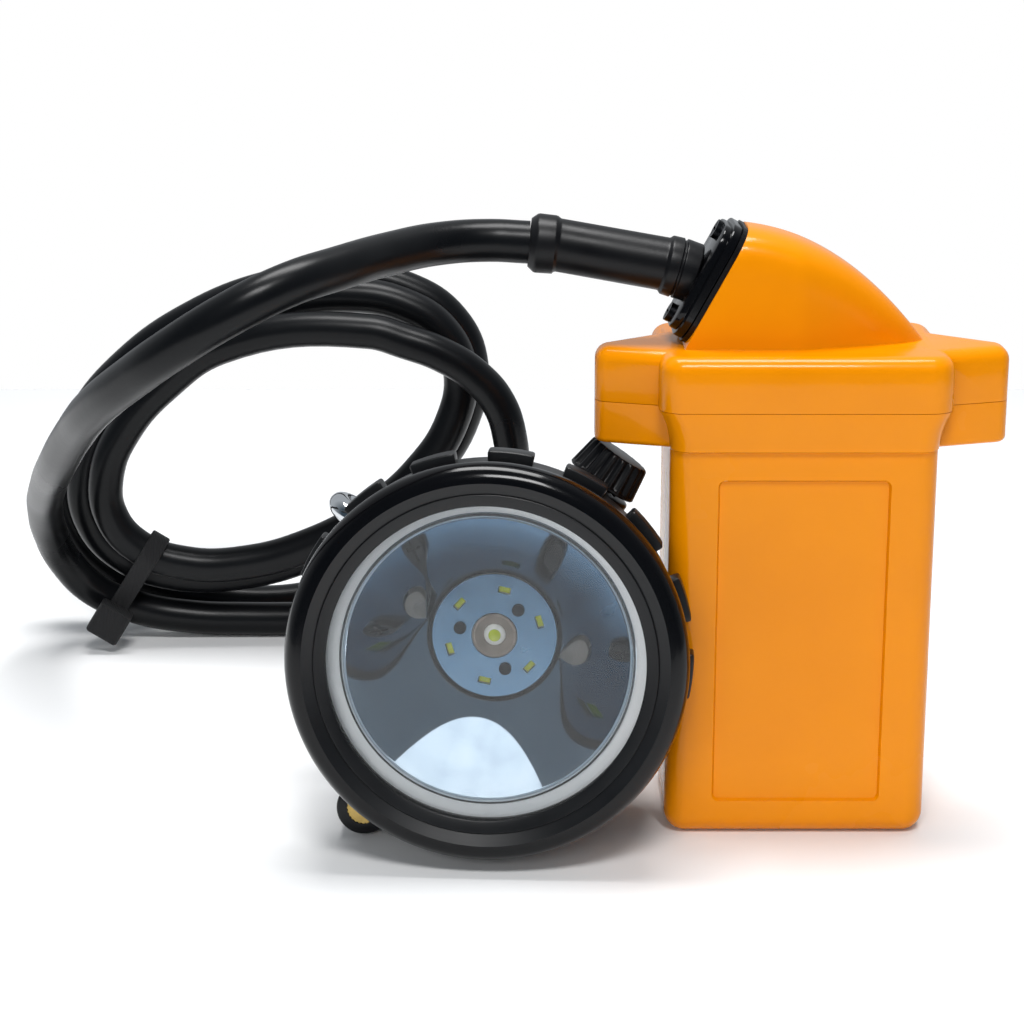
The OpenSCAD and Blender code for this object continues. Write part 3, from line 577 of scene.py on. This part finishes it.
# Case: below the seam the sides widen in a curve, and the front steps out at a line
FLARE_LEAD = 2  # the sides start to widen this far below the step
FLARE_RINGS = 24
SIDE_FLARE = 2.5
SIDE_CURVE = 2.6
FRONT_STEP = 1.0
FRONT_FLARE = 1.0
FLARE_R = 0.4  # what the flare adds to the corner radius
case_rings = levels(lambda i: wrapped(corners(HALF_W, HALF_D, CASE_R), 96, i),
                    reversed(edge_round(CASE_R, 9)))
for k in range(FLARE_RINGS + 1):
    s = k / FLARE_RINGS
    z = STEP_Z - FLARE_LEAD + (CASE_TOP - STEP_Z + FLARE_LEAD) * s
    rise = max(0.0, (z - STEP_Z) / (CASE_TOP - STEP_Z))
    stepped = min(1.0, max(0.0, (z - STEP_Z + 0.25) / 0.35))
    front = stepped * FRONT_STEP + FRONT_FLARE * math.sin(math.radians(90 * rise))
    flared = corners(HALF_W + SIDE_FLARE * s ** SIDE_CURVE, HALF_D + front, CASE_R + FLARE_R * s)
    case_rings.append([(x, y, z) for x, y in wrapped(flared, 96)])
case = loft("battery_case_moulding", case_rings)
combine(case, "UNION", *both_lugs(LUG_BOTTOM, CASE_TOP, False))
PANEL = Matrix.Translation((0, -HALF_D, PANEL_Z)) @ Matrix.Rotation(math.radians(-90), 4, "X")
panel = loft("panel", levels(lambda i: wrapped(corners(PANEL_HW, PANEL_HH, 1.6), 48, i),
                             [(-PANEL_DEPTH, -0.3), (0, 0), (0.9, 0.45)]), PANEL)
holes = []
for side in (1, -1):
    at_screw = Matrix.Translation((side * LUG_SCREW[0], LUG_SCREW[1], 0))
    holes.append(lathe("hole", plug(SCREW_HEAD_R, LUG_BOTTOM - 1, LUG_BOTTOM + 3), at_screw, 48))
    holes.append(lathe("hole", plug(SCREW_R, LUG_BOTTOM - 5, LUG_BOTTOM + 10), at_screw, 48))
combine(case, "DIFFERENCE", cells_room(WALL, SEAM_Z + 5), panel, *holes)
softened(case, 0.18, angle=30)
finished(case, orange_abs, "lamp", "case_orange", "battery_case")

# Cover, with its top edge rounded
cover_levels = [(COVER_BOTTOM, 0.0)]
cover_levels += [(COVER_TOP - drop, inset) for drop, inset in edge_round(COVER_EDGE, 9)]
cover = loft("case_cover_moulding", levels(lambda i: wrapped(corners(COVER_HW, COVER_HD, 5.0), 96, i),
                                           cover_levels))

# Hump: it falls to the right in a curve, and its left end is cut off square to the gland
HUMP_FROM = -28  # the blank starts beyond the cut
HUMP_RINGS = 48
HUMP_FALL = 2.4
HUMP_ROUND = 0.7
NARROWS_FROM = -1
NOSE_FROM = 21
NARROWING = 0.3
NOSE_HD = 4.7
NOSE_L = 6.2


def hump_half_depth(x):
    """Half depth of the hump's footprint: parallel by the gland, then narrowing to a round nose."""
    if x < NARROWS_FROM:
        return HUMP_HD
    if x < NOSE_FROM:
        return HUMP_HD - NARROWING * (x - NARROWS_FROM)
    return NOSE_HD * math.sqrt(max(0.01, (NOSE_FROM + NOSE_L - x) / NOSE_L))


hump_rings = []
root_z = SEAM_Z + 4
for j in range(HUMP_RINGS + 1):
    x = HUMP_FROM + (HUMP_END - HUMP_FROM) * j / HUMP_RINGS
    t = max(0.0, (x - HUMP_START) / (HUMP_END - HUMP_START))
    rise = COVER_TOP - 0.2 - root_z + HUMP_RISE * (1 - t ** HUMP_FALL)
    crown = min(HUMP_CROWN, rise)
    half = hump_half_depth(x)
    ring = [(x, half, root_z)]
    for k in range(33):
        a = math.pi * k / 32
        c = math.cos(a)
        ring.append((x, half * math.copysign(abs(c) ** HUMP_ROUND, c),
                     root_z + rise - crown + crown * abs(math.sin(a)) ** HUMP_ROUND + 0.01))
    hump_rings.append(ring + [(x, -half, root_z)])
hump = loft("hump", hump_rings)
beyond = loft("beyond", levels(lambda i: wrapped(corners(60, 60, 1), 16, i), [(0, 0), (60, 0)]), GLAND)
combine(hump, "DIFFERENCE", beyond)
combine(cover, "UNION", *both_lugs(COVER_BOTTOM, COVER_TOP, True), hump)
gland_hole = lathe("gland_hole", plug(5, -8, 2), GLAND, 64)
combine(cover, "DIFFERENCE", cells_room(SEAM_Z - 1, SEAM_Z + 9), gland_hole)
softened(cover, 0.25, angle=30)
finished(cover, orange_abs, "lamp", "case_orange", "case_cover")

# Bridge for the belt, with rounded edges
LOOP = [(0, 14, 1), (3, 14, 1), (3, 19, 1), (9.5, 19, 1.5), (11, 20.5, 1), (11, 77.5, 1), (9.5, 79, 1.5),
        (3, 79, 1), (3, 84, 1), (0, 84, 1), (0, 76, 0), (8, 76, 1.5), (8, 22, 1.5), (0, 22, 0)]
LOOP_SIDES = (-22, 22)
bridge = loft("belt_bridge", [[(x, HALF_D + y, z) for y, z in eased(LOOP)] for x in LOOP_SIDES])
softened(bridge, 0.6, angle=60)
finished(bridge, nylon, "lamp", "loop_black", "belt_loop")

# ---- gland on the pack ----

# Stepped flange with two screw holes
plate = loft("gland_flange", levels(lambda i: wrapped(corners(13.2, 10, 5.8), 96, i),
                                    [(1.0, 0.2), (1.3, 0), (2.7, 0), (2.95, 0.15), (3.05, 0.6)]), GLAND)
step = loft("gland_step", levels(lambda i: wrapped(corners(12.2, 9, 5), 96, i),
                                 [(2.5, 0), (4.1, 0), (4.45, 0.15), (GLAND_TOP, 0.5)]), GLAND)
combine(plate, "UNION", step)
bores = [lathe("bore", plug(4, -1, 8), GLAND, 64)]
for side in (1, -1):
    at_screw = GLAND @ Matrix.Translation((side * GLAND_SCREW_AT, 0, 0))
    bores.append(lathe("screw_hole", plug(GLAND_SCREW_R, -1, 6), at_screw, 32))
combine(plate, "DIFFERENCE", *bores)
finished(plate, gloss_abs, "lamp", "gland_black", "gland_plate", crease=30)


def along(route, distance):
    """The point at a distance along a route."""
    for a, b in zip(route, route[1:]):
        step_length = (b - a).length
        if distance <= step_length:
            return a + (b - a) * distance / step_length
        distance -= step_length
    return route[-1] + (route[-1] - route[-2]).normalized() * distance


# Boot: a collar with a groove, a plain tube and a bead at the end
BOOT_ROUTE = [Vector(p) for p in (
    (-22.4, 0, 119.6), (-25, 0, 120.5), (-28, 0, 121.35), (-32, 0, 122.35), (-37, 0, 123.4),
    (-42, 0, 124.3), (-47, 0, 125.05), (-52, 0, 125.7), (-57.3, 0, 126.2))]
BOOT_LENGTH = sum((b - a).length for a, b in zip(BOOT_ROUTE, BOOT_ROUTE[1:]))
boot_profile = eased([
    (0, 5.9, 0), (0.3, 6.3, 0.2), (3.3, 6.4, 0.15), (3.5, 6.0, 0.15), (3.9, 6.0, 0.15), (4.1, 6.4, 0.15),
    (6.3, 6.3, 0.6), (6.9, 5.65, 0.6), (BOOT_LENGTH - 6, 5.6, 0.8), (BOOT_LENGTH - 5.2, 6.15, 0.5),
    (BOOT_LENGTH - 1.4, 6.25, 1.2), (BOOT_LENGTH, 5.1, 0)], 4)
boot = sweep("cable_boot_moulding", [along(BOOT_ROUTE, s) for s, r in boot_profile],
             [r for s, r in boot_profile], 64)
finished(boot, rubber, "lamp", "boot_rubber", "cable_boot", crease=50)

# ---- headpiece ----

# Bezel: an inner lip, a sloping bevel, a round bead and a skirt with grip lobes
BEAD_FROM_R = 37.6
BEAD_FROM_Z = -1.6
LOBES = 16
LOBE_HALF = 6.6  # half a lobe, in degrees
LOBE_FIRST = 5.4
lip = eased([(33.0, 3.2, 0.1), (33.0, 4.2, 0.35), (37.2, 5.75, 0.2)])
bezel_outline = (
    lip[EASE_STEPS + 1:] + arc(37.5, 1.7, 4.4, 84, -40, 20)
    + [(40.75, -1.9), (40.7, -13.6), (40.3, -14.0), (36.6, -14.0), (36.3, -13.7), (36.3, -0.6),
       (35.4, -0.6), (35.4, 3.2)])
bezel = lathe("bezel_moulding", bezel_outline, HEAD, 192)
lobe_blocks = []
for k in range(LOBES):
    half = math.radians(LOBE_HALF)
    ring_at = []
    for z in (-13.4, -7.2):
        ring = []
        for r, order in ((42.9, 1), (40.0, -1)):
            for j in range(7):
                a = order * (half - 2 * half * j / 6)
                ring.append((r * math.cos(a), r * math.sin(a), z))
        ring_at.append(ring)
    turned_by = math.radians(360 * (k + 0.5) / LOBES + LOBE_FIRST - HEAD_ROLL)
    block = loft("lobe", ring_at, HEAD @ Matrix.Rotation(turned_by, 4, "Z"))
    softened(block, 0.6, angle=50)
    lobe_blocks.append(block)
joined(bezel, *lobe_blocks)
finished(bezel, [matte_pc, gloss_abs], "bezel", "bezel_black", "bezel_ring", crease=28)
second_finish(bezel, lambda r, z: r > BEAD_FROM_R and z > BEAD_FROM_Z)

# Window, and the grey trim ring behind it
lens = lathe("front_window", eased([(0, 0.2, 0), (35, 0.2, 0.2), (35, 2.9, 0.3), (0, 2.9, 0)]), HEAD, 128)
finished(lens, window, "lens_carrier", "lens_clear", "front_lens")

trim_outline = eased([(30.9, -1.9, 0), (33.7, -1.9, 0), (33.7, -1.0, 0),
                      (33.1, -1.0, 0.2), (30.9, -1.7, 0.05)])
trim = lathe("grey_trim", trim_outline, HEAD, 128)
finished(trim, trim_grey, "lamp", "trim_grey", "trim_ring")

# Reflector: a parabolic bowl with a flange; the neck round the lamp disc stays bare, in gloss black that
# also paints the shade in the gap round the lamp disc
RIM_R = 29.9
NECK_R = 14.6
BOWL_FOOT = -25
BOWL_DEPTH = 24.0
BOWL_WALL = 1.2
BOWL_STEPS = 40
FOUR_FOCAL = (RIM_R ** 2 - NECK_R ** 2) / BOWL_DEPTH


def bowl_height(r):
    """Height of the bowl's inside above its foot."""
    return (r * r - NECK_R ** 2) / FOUR_FOCAL


bowl = [NECK_R + (RIM_R - NECK_R) * k / BOWL_STEPS for k in range(BOWL_STEPS + 1)]
bowl_outline = (
    [(13.7, -27.2), (13.7, -25.6), (14.1, -25.2), (14.35, -24.9)]
    + [(r, BOWL_FOOT + bowl_height(r)) for r in bowl]
    + [(30.3, -0.7), (30.8, -1.0), (30.8, -1.9), (33.7, -1.9), (33.7, -2.9), (30.9, -2.9)]
    + [(r + BOWL_WALL, BOWL_FOOT - 0.3 + bowl_height(r)) for r in bowl[-2::-1]]
    + [(14.9, -25.6), (14.9, -27.2)])
reflector = lathe("metallised_bowl", bowl_outline, HEAD, 192)
finished(reflector, [metallised, gloss_abs], "lamp", "reflector_bright", "reflector", crease=30)
# Bare neck in gloss black: an unmetallised skirt, and also painted shade that darkens the gap round the lamp
# disc
second_finish(reflector, lambda r, z: z < -24.7 and r < 14.5)

# Main light source: ceramic base, clear silicone dome and the phosphor dot in its middle
chip_outline = [(0, -26.7), (2.3, -26.7), (2.3, -26.1), (2.1, -25.9), (1.75, -25.5),
                (1.35, -25.25), (1.3, -25.15), (0.9, -25.0), (0, -24.9)]
chip = lathe("light_source", chip_outline, HEAD, 64)
finished(chip, [mask_white, phosphor], "lamp", "phosphor", "main_led", crease=30)
second_finish(chip, lambda r, z: r < 1.34 and z > -25.3)

# Housing: a turned shell with bosses for the switch, the charging contact and the cable
shell_outline = (
    [(0, -40.5), (27, -40.5)] + arc(27, -33.5, 7, -84, 0, 10)
    + [(35, -18), (36, -16), (36, -1.2), (35.8, -1), (33.8, -1), (33.8, -3), (32.6, -3), (32, -28)]
    + arc(26, -32.5, 5.8, 0, -90, 8) + [(0, -38.3)])
housing = lathe("lamp_shell", shell_outline, HEAD, 128)
KNOB_Z = -28.0
CABLE_Y = -22
CONTACT_TURN = 176.8
CONTACT_R = 45.5
NUT_FROM = -44.5  # the cable boss ends and the gland nut begins
NUT_TO = -51
SWITCH = HEAD @ Matrix.Translation((0, 0, KNOB_Z)) @ ALONG_X
CONTACT = HEAD @ Matrix.Rotation(math.radians(CONTACT_TURN), 4, "Z")
CABLE = HEAD @ Matrix.Translation((0, CABLE_Y, 0))
boss_outline = eased([(0, 29, 0), (7.6, 29, 0), (7.6, 39.6, 0.6), (0, 39.6, 0)])
switch_boss = lathe("switch_boss", boss_outline, SWITCH, 64)
contact_boss = loft("contact_boss", levels(
    lambda i: wrapped([(CONTACT_R, 0, 5.8), (35, 5.2, 0.6), (35, -5.2, 0.6)], 96, i),
    [(-22, 0.5), (-21.8, 0.15), (-21.5, 0), (-15, 0), (-14.7, 0.15), (-14.5, 0.5)]), CONTACT)
boss_outline = eased([(0, -39, 0), (8.6, -39, 0), (8.6, NUT_FROM, 0.5), (0, NUT_FROM, 0)])
cable_boss = lathe("cable_boss", boss_outline, CABLE, 64)
combine(housing, "UNION", switch_boss, contact_boss, cable_boss)
combine(
    housing, "DIFFERENCE",
    lathe("bore", plug(2.55, 20, 45), SWITCH, 48),
    lathe("bore", plug(4.4, 37.6, 41), SWITCH, 48),
    lathe("bore", plug(3.5, -30, -10), CONTACT @ Matrix.Translation((CONTACT_R, 0, 0)), 48),
    lathe("bore", plug(5.4, -46, -36), CABLE, 48))
softened(housing, 0.5, angle=34)
finished(housing, satin_pc, "lamp", "housing_black", "lamp_housing")

# Knob: tapered grip with round flutes
KNOB_LOW = 40.6
KNOB_H = 7.4
KNOB_R = 8.0
KNOB_TAPER = 1.2
FLUTES = 18
FLUTE_STEPS = 12
FLUTE_ROUND = 1.5
# Height, what the edge rounding takes off the radius, and the depth of the flutes
KNOB_LEVELS = [(40.6, 0.25, 0), (40.85, 0, 0), (41.3, 0, 0), (41.5, 0, 0.6), (41.9, 0, 0.85), (47.0, 0, 0.8),
               (47.5, 0.05, 0.7), (47.8, 0.2, 0.5), (47.95, 0.4, 0.3), (48.0, 0.7, 0.2)]
knob_rings = []
for z, shrink, depth in KNOB_LEVELS:
    ring = []
    for k in range(FLUTES * FLUTE_STEPS):
        a = 2 * math.pi * k / (FLUTES * FLUTE_STEPS)
        flute = depth * (0.5 + 0.5 * math.cos(FLUTES * a)) ** FLUTE_ROUND
        r = KNOB_R - KNOB_TAPER * (z - KNOB_LOW) / KNOB_H - shrink - flute
        ring.append((r * math.cos(a), r * math.sin(a), z))
    knob_rings.append(ring)
grip = loft("switch_grip", knob_rings, SWITCH)
combine(grip, "DIFFERENCE", lathe("bore", plug(2.5, 40, 45), SWITCH, 48))
finished(grip, nylon, "knob", "knob_black", "switch_knob", crease=40)

# Hexagonal gland nut with turned corners, and the tapered, ribbed boot behind it
NUT_R = 8.8
NUT_BORE = 5.4
BOOT_END = -71
BOOT_GROOVES = 5
GROOVE_PITCH = 3.4
GROOVE_DEPTH = 0.6
nut_outline = [(NUT_BORE, NUT_TO), (NUT_R, NUT_TO), (NUT_R, NUT_FROM), (NUT_BORE, NUT_FROM)]
nut = lathe("hex_nut", nut_outline, CABLE, 6)
softened(nut, 0.6, angle=40)
finished(nut, satin_pc, "lamp", "housing_black", "head_gland_nut")
boot_corners = [(0, BOOT_END, 0), (5.3, BOOT_END, 0.5)]
for k in range(BOOT_GROOVES):
    z = BOOT_END + 2.5 + GROOVE_PITCH * k
    r = 5.45 + 0.25 * k
    boot_corners += [(r, z, 0.3), (r - GROOVE_DEPTH, z + 0.3, 0.3),
                     (r - GROOVE_DEPTH, z + 1.1, 0.3), (r + 0.1, z + 1.4, 0.3)]
boot_corners += [(6.6, NUT_TO - 1.5, 0.3), (6.6, NUT_TO, 0), (0, NUT_TO, 0)]
tail_boot = lathe("head_boot_moulding", eased(boot_corners, 3), CABLE, 64)
finished(tail_boot, rubber, "lamp", "boot_rubber", "head_boot", crease=45)

# ---- CAD pieces that keep their shape ----

KEPT_AS_MADE = {
    "cover_gasket": silicone, "cover_screws": zinc, "cell_front": cell_can, "cell_rear": cell_can,
    "cell_pad": foam, "cell_tabs": nickel, "protection_board": mask_green, "fuse": fuse_epoxy,
    "battery_leads": wire, "belt_loop_screws": zinc, "gland_seal": rubber, "gland_screws": blackened,
    "lens_seal": rubber, "led_disc": anodised, "led_board": mask_white, "led_collar": collar_lcp,
    "aux_leds": phosphor, "disc_screws": blackened, "heat_sink": machined, "driver_board": mask_green,
    "switch_body": pbt, "switch_shaft": zinc, "switch_seal": rubber, "charge_contact": brass,
    "helmet_hook": chrome, "hook_screws": zinc, "head_grommet": rubber, "head_leads": wire,
}
for node, material in KEPT_AS_MADE.items():
    for surface in nodes[node].material_slots:
        surface.material = material

# ---- floor and light ----

FLOOR_X = (-560, 440)
FLOOR_Y = (-480, 420)
floor_corners = [(FLOOR_X[i], FLOOR_Y[j], 0) for i, j in ((0, 0), (1, 0), (1, 1), (0, 1))]
floor = piece("floor", floor_corners, [(0, 1, 2, 3)])
floor.data.materials.append(paper)

# Soft surround: light behind the lamp and dark towards the camera, for gloss and mirror to show
SURROUND_SPAN = (-0.35, 0.45)  # how far towards the camera and away from it the shades run
SURROUND_STRENGTH = 0.9
world = bpy.data.worlds.new("studio")
world.use_nodes = True
scene.world = world
sky = world.node_tree
around = add(sky, "ShaderNodeTexCoord")
split = add(sky, "ShaderNodeSeparateXYZ", None, {"Vector": around.outputs["Generated"]})
away = add(sky, "ShaderNodeMapRange",
           {"From Min": SURROUND_SPAN[0], "From Max": SURROUND_SPAN[1], "To Min": 0.0, "To Max": 1.0},
           {"Value": split.outputs["Y"]})
shades = add(sky, "ShaderNodeValToRGB", None, {"Fac": away.outputs["Result"]})
shades.color_ramp.elements[0].color = colour("#46545F")
shades.color_ramp.elements[1].color = colour("#C4C8CC")
sky.links.new(shades.outputs["Color"], sky.nodes["Background"].inputs["Color"])
sky.nodes["Background"].inputs["Strength"].default_value = SURROUND_STRENGTH
# What the camera sees behind the floor's edge is plain white
seen = add(sky, "ShaderNodeLightPath")
plain = add(sky, "ShaderNodeBackground", {"Color": colour("#FFFFFF"), "Strength": 1.0})
blend = add(sky, "ShaderNodeMixShader", None, {0: seen.outputs["Is Camera Ray"],
                                               1: sky.nodes["Background"].outputs["Background"],
                                               2: plain.outputs["Background"]})
sky.links.new(blend.outputs["Shader"], sky.nodes["World Output"].inputs["Surface"])


def softbox(name, place, target, width, height, power, seen_in_gloss=True):
    """A rectangular lamp that faces a target point; a fill lamp stays out of the reflections."""
    lamp = bpy.data.objects.new(name, bpy.data.lights.new(name, "AREA"))
    lamp.data.shape = "RECTANGLE"
    lamp.data.size = width
    lamp.data.size_y = height
    lamp.data.energy = power
    lamp.location = place
    lamp.visible_glossy = seen_in_gloss
    lamp.rotation_euler = (Vector(target) - Vector(place)).to_track_quat("-Z", "Y").to_euler()
    scene.collection.objects.link(lamp)


softbox("key_softbox", (0.0, -0.66, 0.95), (-0.04, 0, 0.05), 0.36, 0.22, 6.6)
softbox("front_fill", (-0.35, -0.95, 0.4), (-0.06, 0, 0.05), 0.4, 0.4, 3.2, False)
softbox("top_softbox", (-0.05, 0.12, 0.95), (-0.06, 0.06, 0), 0.5, 0.3, 7.5)

scene.view_settings.view_transform = "Standard"

bpy.context.view_layer.update()
